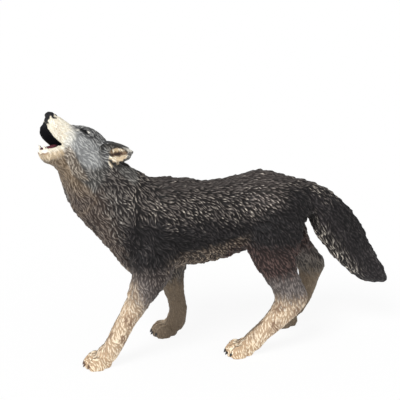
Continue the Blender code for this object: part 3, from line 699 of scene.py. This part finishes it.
# The painting
def body_zones(points, normals):
    """The zones of paint on trunk, legs and tail."""
    x, y, z = points.T
    facing_in = smooth(0.3, -0.4, normals[:, 1] * np.sign(y)) * (abs(y) < 15)
    chest_edge = x + 42.4 - 0.34 * (61.3 - z)
    legs_front = (x < 0) * smooth(BELLY_LEVEL + 3, BELLY_LEVEL - 3, z)
    behind_leg = np.where(y < 0, x + 44 - 0.66 * z, x + 19)
    legs_hind = (x > 0) * (x + 0.35 * z < 52)
    fringe = BELLY_LEVEL + 7.3 + 0.16 * (x + 12.7) + 0.3 * np.maximum(x - 1, 0)
    tail = smooth(29, 32, x) * of_tail(points)
    down = along_tail(points)
    above = across_tail(points)
    waves = np.sin(0.6 * x + 0.35 * z + 1.0) * np.sin(0.5 * z - 0.25 * x + 0.4 * y)
    patches = smooth(0.1, 0.6, waves)
    return (
        (smooth(-30, -36, x) * smooth(42, 50, z), RUFF, 1.0),
        (smooth(52.5, 45.5, z) * smooth(-38, -32, x), SHADE, 0.35),
        (smooth(57, 49, z) * smooth(8, 15, x), SHADE, 0.4),
        (smooth(9, 3, np.hypot(x - 14, z - 58)), RUMP, 1.2),
        (smooth(18, 23, x) * smooth(60, 55, z) * (1 - tail), SHADE, 0.4),
        (smooth(54, 47, z) * smooth(-18, -24, x) * smooth(-38, -32, x), SHADE, 0.6),
        (smooth(0.5, 0.85, normals[:, 2]) * smooth(56, 59, z) * smooth(-28, -20, x), SPINE, 0.3),
        (smooth(2.0, -3.0, chest_edge) * smooth(25, 31, z), CHEST, 0.6),
        (smooth(1.5, -1.5, z - fringe) * smooth(-24, -16, x) * smooth(9, 4, x), BELLY, 1.0),
        (legs_hind * smooth(41, 35, z), THIGH, 0.4),
        (legs_hind * smooth(30.5, 25.5, z + 0.15 * (20 - x)), HOCK, 0.35),
        (smooth(-14, -18, x) * smooth(-42, -38, x) * smooth(36, 30, z), FOREARM, 0.6),
        (legs_hind * smooth(23, 14, z + 0.1 * (x - 18)), SHANK, 1.0),
        (legs_front * smooth(30, 23, z + 0.9 * behind_leg), HOCK, 0.6),
        (legs_front * smooth(25, 15, z + 0.9 * behind_leg), SHANK, 1.0),
        (0.7 * smooth(22, 16, z) * smooth(4, 8, z) * patches, SHANK_PATCH, 0.8),
        (smooth(7, 3.5, z) * (1 - facing_in), PAW, 1.0),
        (facing_in * smooth(32, 24, z), INNER_HOCK, 0.8),
        (facing_in * smooth(24, 18, z), INNER_LEG, 0.2),
        (tail * smooth(2.4, 0.6, above + 0.04 * down), TAIL, 0.4),
        (tail * smooth(30, 38, down), TAIL, 0.3),
        (tail * smooth(-1.5, -4.5, above) * smooth(6, 12, down) * smooth(46, 38, down), TAIL_EDGE, 1.5),
    )


def head_zones(points, strayed, stray):
    """The zones of paint on the head, the throat and the ruff, drawn by their outlines."""
    brushed = in_picture(points) + stray * np.array(PICTURE_STRAY)
    near = points[:, 0] < EARS_END
    side = in_head(strayed)[:, 1]
    z = strayed[:, 2]
    head = of_head(strayed)
    throat_end = 1 - smooth(0, -3, side) * smooth(65, 58, z)

    def drawn(outline, soft):
        return within(brushed, outline, soft) * near

    return (
        (head, NECK, 0.9),
        (drawn(CHEEK_OUTLINE, 4.0), FACE, 0.6),
        (drawn(BROW_OUTLINE, 2.5) * head, BROW, 0.7),
        (drawn(PALE_OUTLINE, 3.0), PALE, 0.6),
        (drawn(MUZZLE_OUTLINE, 2.2), MUZZLE, 0.5),
        (drawn(CHIN_OUTLINE, 2.0), CHIN, 0.5),
        (drawn(THROAT_OUTLINE, 3.6) * throat_end, THROAT, 0.6),
        (drawn(THROAT_OUTLINE, 3.6) * throat_end * smooth(67, 56, z), CHEST, 0.6),
        (drawn(RUFF_OUTLINE, 2.0), CHEEK, 1.0),
    )


def ear_zones(points, strayed, normals):
    """The zones of paint on the ears and close below them."""
    place = in_picture(points)
    near = points[:, 0] < EARS_END
    ear = of_ear(points)
    ear_front = ear * smooth(0.0, 0.3, facing_camera(points, normals))
    ahead, side, _ = in_head(strayed).T
    return (
        (within(place, EAR_SHADOW, 1.5) * near * (1 - ear) * smooth(3.0, 4.5, abs(side)), SHADE, 0.1),
        (ear, EAR_BACK, 0.7),
        (ear * smooth(-4.5, -2.0, ahead), NECK, 0.7),
        (ear_front * within(place, EAR_HOLLOW, 1.0), EAR_INSIDE, 0.5),
        (ear_front * within(place, EAR_BAND, 0.6), EAR_DEEP, 0.2),
        (ear_front * within(place, EAR_TUFT, 0.5), PALE_FUR, 0.5),
        (ear_front * within(place, EAR_FUR, 0.6), PALE_FUR, 0.5),
        (ear * within(place, EAR_EDGE, 0.8), PALE, 0.5),
        (within(place, EAR_STREAK, 0.6) * near * (1 - ear), PALE_FUR, 0.4),
    )


def face_marks(points, strayed, normals):
    """The small marks of paint on the muzzle, the eyes with their painted glints, the mouth and the
    nose.
    """
    place = in_picture(points)
    seen = in_picture(points, mirrored=False)
    near = points[:, 0] < EARS_END
    face = strayed[:, 0] < FACE_END
    inside, lower = inside_mouth(points, normals)
    ahead, side, crown = in_head(strayed).T
    head = of_head(strayed)
    specks = np.zeros(len(points))
    for speck in SPECKS:
        distance = np.linalg.norm(place - np.array(speck), axis=1)
        specks = np.maximum(specks, smooth(0.9, 0.3, distance))
    return (
        (specks * near, SPECK, 0.0),
        # Painted highlights on each eye: a pale glint at its front corner and a white glint at its rear
        # corner, beside the dark slit
        (within(place, EYE_FRONT_GLINT, 0.5) * near * head, PALE, 0.0),
        (within(place, EYE_OUTLINE, 0.6) * near * head, SLIT, 0.0),
        (within(place, EYE_REAR_GLINT, 0.4) * near * head, DAB, 0.0),
        (inside, MOUTH, 0.0),
        (inside * lower * smooth(2.4, 1.8, abs(side)), GUM, 0.0),
        (within(seen, FAR_LIP, 0.3) * (ahead > 14) * (crown < -4) * near, MOUTH, 0.0),
        (within(place, LIP_OUTLINE, 0.4) * face, LIP_LINE, 0.0),
        (within(place, TEETH_OUTLINE, 0.4) * face, DAB, 0.0),
        (within(place, GUM_OUTLINE, 0.4) * face, GUM, 0.0),
        (within(place, NOSE_OUTLINE, 0.4) * face, NOSE, 0.0),
    )


def painted_zones(points, normals, tone):
    """Each zone of paint as its share at every point, its colours and how much it is brushed,
    in the order of painting. Single strokes stray over the borders of the zones."""
    stray = (tone - 0.5)[:, None]
    strayed = points + stray * np.array(STRAY)
    return (
        *body_zones(strayed, normals),
        *head_zones(points, strayed, stray),
        *ear_zones(points, strayed, normals),
        *face_marks(points, strayed, normals),
    )


def painted_layers(skin):
    """The paint of every zone, as colours of the skin's points."""
    points, _, normals, crest, tone = skin
    layers = [np.tile(linear(colour), (len(points), 1)) for colour in COAT]
    brush = np.full(len(points), 1.0)
    for share, colours, amount in painted_zones(points, normals, tone):
        for layer, colour in zip(layers, colours):
            layer += share[:, None] * (linear(colour) - layer)
        brush += share * (amount - brush)
    # deep is the colour in the grooves, partly the figure's own dark paint and partly painted shade
    deep, hair, tips = layers
    return {"deep": deep, "hair": hair, "tips": tips, "brush": brush, "crest": crest, "tone": tone}


# Materials
class Nodes:
    """A material's node tree, with short calls to add and link nodes."""

    def __init__(self, name):
        self.material = bpy.data.materials.new(name)
        self.material.use_nodes = True
        self.tree = self.material.node_tree
        self.shader = self.tree.nodes["Principled BSDF"]

    def add(self, kind, **values):
        node = self.tree.nodes.new(kind)
        for key, value in values.items():
            setattr(node, key, value)
        return node

    def link(self, source, target):
        self.tree.links.new(source, target)

    def read(self, name, output="Fac"):
        return self.add("ShaderNodeAttribute", attribute_name=name).outputs[output]

    def noise(self, per_mm, detail=3.0):
        """Noise with so many features to a millimetre, on the object's own coordinates."""
        place = self.add("ShaderNodeTexCoord").outputs["Object"]
        noise = self.add("ShaderNodeTexNoise")
        noise.inputs["Scale"].default_value = per_mm / MM
        noise.inputs["Detail"].default_value = detail
        self.link(place, noise.inputs["Vector"])
        return noise.outputs["Fac"]

    def ramp(self, value, low, high, start=0.0, end=1.0):
        node = self.add("ShaderNodeMapRange", interpolation_type="SMOOTHSTEP")
        sockets = ("From Min", "From Max", "To Min", "To Max")
        for socket, number in zip(sockets, (low, high, start, end)):
            node.inputs[socket].default_value = number
        self.link(value, node.inputs["Value"])
        return node.outputs["Result"]

    def times(self, first, second):
        node = self.add("ShaderNodeMath", operation="MULTIPLY")
        for socket, value in zip(node.inputs, (first, second)):
            if isinstance(value, float):
                socket.default_value = value
            else:
                self.link(value, socket)
        return node.outputs[0]

    def mix(self, share, first, second, blend="MIX"):
        node = self.add("ShaderNodeMix", data_type="RGBA", blend_type=blend)
        for name, value in (("Factor_Float", share), ("A_Color", first), ("B_Color", second)):
            socket = next(s for s in node.inputs if s.identifier == name)
            if isinstance(value, (float, tuple)):
                socket.default_value = value
            else:
                self.link(value, socket)
        return next(s for s in node.outputs if s.identifier == "Result_Color")

    def bump(self, height, distance, strength):
        node = self.add("ShaderNodeBump")
        node.inputs["Distance"].default_value = distance * MM
        node.inputs["Strength"].default_value = strength
        self.link(height, node.inputs["Height"])
        return node.outputs["Normal"]


def coat_material():
    """Matte hand-painted plastic: dark in the grooves, partly its own dark paint and partly painted
    shade, and dry-brushed on the tips of the hair.
    """
    nodes = Nodes("painted_coat")
    crest = nodes.read("crest")
    uneven = nodes.ramp(nodes.noise(0.3), 0.3, 0.5, 0.5, 1.0)
    # The deep colour in the grooves between strokes is partly the figure's own dark paint and partly
    # painted shade; the ridges take the hair colour
    wash_and_shade = nodes.times(nodes.ramp(crest, 0.08, 0.55), uneven)
    colour = nodes.mix(wash_and_shade, nodes.read("deep", "Color"), nodes.read("hair", "Color"))
    touch = nodes.times(nodes.ramp(crest, 0.45, 0.85), nodes.ramp(nodes.read("tone"), -0.1, 1.0))
    patches = nodes.ramp(nodes.noise(0.16, 2.0), 0.36, 0.6, 0.3, 1.0)
    touch = nodes.times(nodes.times(touch, patches), nodes.read("brush"))
    colour = nodes.mix(touch, colour, nodes.read("tips", "Color"))
    grain = nodes.ramp(nodes.noise(2.6, 4.0), 0.3, 0.7, 0.82, 1.12)
    grey = nodes.add("ShaderNodeCombineColor")
    for socket in grey.inputs[:3]:
        nodes.link(grain, socket)
    colour = nodes.mix(1.0, colour, grey.outputs["Color"], "MULTIPLY")
    nodes.link(colour, nodes.shader.inputs["Base Color"])
    nodes.link(nodes.ramp(nodes.noise(0.5), 0.3, 0.7, 0.5, 0.66), nodes.shader.inputs["Roughness"])
    fine = nodes.bump(nodes.noise(5.0), 0.05, 0.5)
    nodes.link(fine, nodes.shader.inputs["Normal"])
    nodes.shader.inputs["Specular IOR Level"].default_value = 0.22
    return nodes.material


def plain_material(name, colour, roughness, per_mm, depth, dark=0.75):
    """One paint with slightly uneven colour, gloss and surface."""
    nodes = Nodes(name)
    light = (*linear(colour), 1.0)
    shade = (*(linear(colour) * dark), 1.0)
    paint = nodes.mix(nodes.ramp(nodes.noise(per_mm), 0.35, 0.65), shade, light)
    nodes.link(paint, nodes.shader.inputs["Base Color"])
    gloss = nodes.ramp(nodes.noise(per_mm * 0.7), 0.3, 0.7, roughness * 0.85, roughness * 1.15)
    nodes.link(gloss, nodes.shader.inputs["Roughness"])
    fine = nodes.bump(nodes.noise(per_mm * 2, 4.0), depth, 0.6)
    nodes.link(fine, nodes.shader.inputs["Normal"])
    return nodes.material


# Small pieces
def ball_mesh(radii, rings):
    """A ball with its own radius along each axis."""
    mesh = bmesh.new()
    bmesh.ops.create_uvsphere(mesh, u_segments=rings * 2, v_segments=rings, radius=1.0)
    mesh.transform(Matrix.Diagonal((*radii, 1.0)))
    return mesh


def finished(mesh, name, material, place):
    """A bmesh in millimetres, set in its place, as a piece that rides on the figure."""
    mesh.transform(place)
    mesh.transform(Matrix.Scale(MM, 4))
    bmesh.ops.recalc_face_normals(mesh, faces=mesh.faces)
    data = bpy.data.meshes.new(name)
    mesh.to_mesh(data)
    mesh.free()
    data.shade_smooth()
    data.materials.append(material)
    piece = object_of(data, name)
    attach(piece, BODY)
    return piece


def nose_pad():
    """The leathery pad, with two nostrils and a groove between them."""
    mesh = ball_mesh(NOSE_RADII, 48)
    for vert in mesh.verts:
        point = vert.co.copy()
        for side in (1.0, -1.0):
            across = (point.y - side * NOSTRIL_PLACE[0]) / NOSTRIL_RADII[0]
            reach = math.hypot(across, (point.z - NOSTRIL_PLACE[1]) / NOSTRIL_RADII[1])
            if point.x > 0:
                vert.co = vert.co - Vector((NOSTRIL_DEPTH, 0.0, 0.0)) * math.exp(-reach * reach)
        if point.x > 0 and point.z < 0.4:
            groove = math.exp(-((point.y / GROOVE_WIDTH) ** 2))
            vert.co = vert.co - Vector((GROOVE_DEPTH, 0.0, 0.0)) * groove
    turn = Matrix.Rotation(math.radians(NOSE_TILT), 4, "Y")
    place = HEAD @ Matrix.Translation(NOSE_PLACE) @ turn
    black = plain_material("nose_black", NOSE[1], 0.35, 3.0, 0.08)
    return finished(mesh, "nose_pad", black, place)


def eye(side, name):
    """A narrow dark eye under its lid."""
    slant = Matrix.Rotation(math.radians(EYE_SLANT), 4, "Y")
    turn = Matrix.Rotation(math.radians(-EYE_TURN * side), 4, "Z")
    ahead, aside, up = EYE_PLACE
    place = HEAD @ Matrix.Translation((ahead, side * aside, up)) @ (slant @ turn)
    dark = plain_material("dark_" + name, EYE, 0.12, 1.0, 0.0)
    return finished(ball_mesh(EYE_RADII, 24), name, dark, place)


def jaw_piece(name, colour, radii, centre):
    """A rounded piece in the mouth, its length along the lower jaw."""
    along = Vector(JAW_WAY).normalized()
    across = Vector((0.0, 1.0, 0.0))
    turn = Matrix((along, across, along.cross(across))).transposed().to_4x4()
    place = HEAD @ Matrix.Translation(centre) @ turn
    wet = plain_material(name + "_paint", colour, 0.3, 2.0, 0.03)
    return finished(ball_mesh(radii, 24), name, wet, place)


def spike(place, length, radius, name, material):
    """A curved cone along its own X, such as a tooth or a claw, with its root at the place."""
    mesh = bmesh.new()
    rings = []
    angles = np.arange(SPIKE_SIDES) * math.tau / SPIKE_SIDES
    for k in range(SPIKE_RINGS + 1):
        t = k / SPIKE_RINGS
        size = radius * (1 - t) ** 0.7 if k < SPIKE_RINGS else radius * 0.06
        centre = Vector((length * t, 0.0, -0.12 * length * t * t))
        corners = [centre + Vector((0.0, math.cos(a), math.sin(a))) * size for a in angles]
        rings.append([mesh.verts.new(corner) for corner in corners])
    for low, high in zip(rings, rings[1:]):
        for i in range(SPIKE_SIDES):
            j = (i + 1) % SPIKE_SIDES
            mesh.faces.new((low[i], low[j], high[j], high[i]))
    mesh.faces.new(rings[0])
    mesh.faces.new(rings[-1])
    return finished(mesh, name, material, place)


def tooth(root, length, radius, name, material):
    """A tooth of the lower jaw, by its root in the head's frame."""
    up = Matrix.Rotation(math.radians(TOOTH_LEAN), 4, "Y")
    return spike(HEAD @ Matrix.Translation(root) @ up, length, radius, name, material)


def teeth():
    """Two canines, and the front teeth in a bow between them."""
    ivory = plain_material("ivory", TOOTH, 0.3, 2.0, 0.02, 0.92)
    ahead, aside, up = CANINE_ROOT
    for side, name in ((1.0, "left"), (-1.0, "right")):
        tooth((ahead, side * aside, up), *CANINE, name + "_lower_canine", ivory)
    half = (FRONT_TEETH - 1) / 2
    for k in range(FRONT_TEETH):
        turn = (k - half) / half
        root = (11.5, turn * 1.4, -13.6 + 0.75 * turn * turn)
        tooth(root, *FRONT_TOOTH, f"front_tooth_{k + 1}", ivory)


def claws():
    """Four short claws on each paw, set where the front of its toes is."""
    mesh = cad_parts["wolf_figurine"].data
    corners = [vertex.co / MM for vertex in mesh.vertices]
    tree = BVHTree.FromPolygons(corners, [face.vertices for face in mesh.polygons])
    horn = plain_material("claw_horn", HORN, 0.4, 2.0, 0.04)
    brown_horn = plain_material("claw_brown_horn", BROWN_HORN, 0.5, 2.0, 0.04)
    back = Matrix.Rotation(math.radians(180.0), 4, "Z")
    out = back @ Matrix.Rotation(math.radians(CLAW_DIP), 4, "Y")
    for paw, start, middle in PAWS:
        material = brown_horn if paw == "left_front" else horn
        for k, offset in enumerate(CLAW_OFFSETS):
            before = Vector((start - 6, middle + offset, CLAW_LEVEL))
            hit = tree.ray_cast(before, Vector((1, 0, 0)), 20)[0]
            if hit is None:
                continue
            place = Matrix.Translation(hit + Vector(CLAW_SINK)) @ out
            spike(place, *CLAW, f"{paw}_claw_{k + 1}", material)


# Studio
def white_floor():
    """A white floor that also glows to the camera, so that it fades into the sky."""
    nodes = Nodes("floor_white")
    tree = nodes.tree
    tree.nodes.remove(nodes.shader)
    diffuse = nodes.add("ShaderNodeBsdfDiffuse")
    diffuse.inputs["Color"].default_value = (FLOOR_WHITE, FLOOR_WHITE, FLOOR_WHITE, 1.0)
    glow = nodes.add("ShaderNodeEmission")
    glow.inputs["Strength"].default_value = 1.0
    rays = nodes.add("ShaderNodeLightPath")
    seen = nodes.add("ShaderNodeMath", operation="MAXIMUM")
    nodes.link(rays.outputs["Is Camera Ray"], seen.inputs[0])
    nodes.link(rays.outputs["Is Glossy Ray"], seen.inputs[1])
    seen_all = nodes.add("ShaderNodeMath", operation="MAXIMUM")
    nodes.link(seen.outputs[0], seen_all.inputs[0])
    nodes.link(rays.outputs["Is Transmission Ray"], seen_all.inputs[1])
    blend = nodes.add("ShaderNodeMixShader")
    nodes.link(nodes.times(seen_all.outputs[0], FLOOR_GLOW), blend.inputs[0])
    nodes.link(diffuse.outputs[0], blend.inputs[1])
    nodes.link(glow.outputs[0], blend.inputs[2])
    nodes.link(blend.outputs[0], tree.nodes["Material Output"].inputs["Surface"])
    mesh = bmesh.new()
    bmesh.ops.create_grid(mesh, x_segments=1, y_segments=1, size=FLOOR_HALF_METRES)
    data = bpy.data.meshes.new("floor")
    mesh.to_mesh(data)
    mesh.free()
    data.materials.append(nodes.material)
    floor = object_of(data, "floor")


def white_sky():
    """A sky that lights the figure softly and looks white to the camera."""
    world = bpy.data.worlds.new("studio")
    bpy.context.scene.world = world
    world.use_nodes = True
    tree = world.node_tree
    sky = tree.nodes["Background"]
    sky.inputs["Color"].default_value = (1.0, 1.0, 1.0, 1.0)
    sky.inputs["Strength"].default_value = SKY
    white = tree.nodes.new("ShaderNodeBackground")
    white.inputs["Color"].default_value = (1.0, 1.0, 1.0, 1.0)
    rays = tree.nodes.new("ShaderNodeLightPath")
    blend = tree.nodes.new("ShaderNodeMixShader")
    tree.links.new(rays.outputs["Is Camera Ray"], blend.inputs[0])
    tree.links.new(sky.outputs[0], blend.inputs[1])
    tree.links.new(white.outputs[0], blend.inputs[2])
    tree.links.new(blend.outputs[0], tree.nodes["World Output"].inputs["Surface"])


def lamps():
    """A key lamp above the wolf's left front, and a softer fill lamp at its left rear."""
    for name, strength, softness, direction in LAMPS:
        lamp = bpy.data.lights.new(name, "SUN")
        lamp.energy = strength
        lamp.angle = math.radians(softness)
        thing = bpy.data.objects.new(name, lamp)
        thing.rotation_euler = Vector(direction).to_track_quat("Z", "Y").to_euler()
        bpy.context.scene.collection.objects.link(thing)


def camera():
    """The camera of the photo."""
    data = bpy.data.cameras.new("camera")
    data.lens = LENS
    data.sensor_width = SENSOR
    thing = bpy.data.objects.new("camera", data)
    place = camera_frame()
    place.translation = place.translation * MM
    thing.matrix_world = place
    bpy.context.scene.collection.objects.link(thing)
    bpy.context.scene.camera = thing


def figure():
    """The painted skin, in pieces that replace the one node together, and the small pieces."""
    skin = carved_skin()
    points, quads, _, _, _ = skin
    layers = painted_layers(skin)
    material = coat_material()
    region = region_of(points[quads].mean(axis=1))
    for number, name in enumerate(REGIONS):
        piece = skin_piece("wolf_" + name, region == number, skin, layers, material)
        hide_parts("wolf_figurine")
    nose_pad()
    eye(1.0, "left_eye")
    eye(-1.0, "right_eye")
    teeth()
    claws()
    jaw_piece("tongue", TONGUE, TONGUE_RADII, TONGUE_PLACE)
    jaw_piece("lower_gum", GUM[1], GUM_RADII, GUM_PLACE)


figure()
white_floor()
white_sky()
lamps()
camera()
bpy.context.scene.view_settings.view_transform = "Standard"
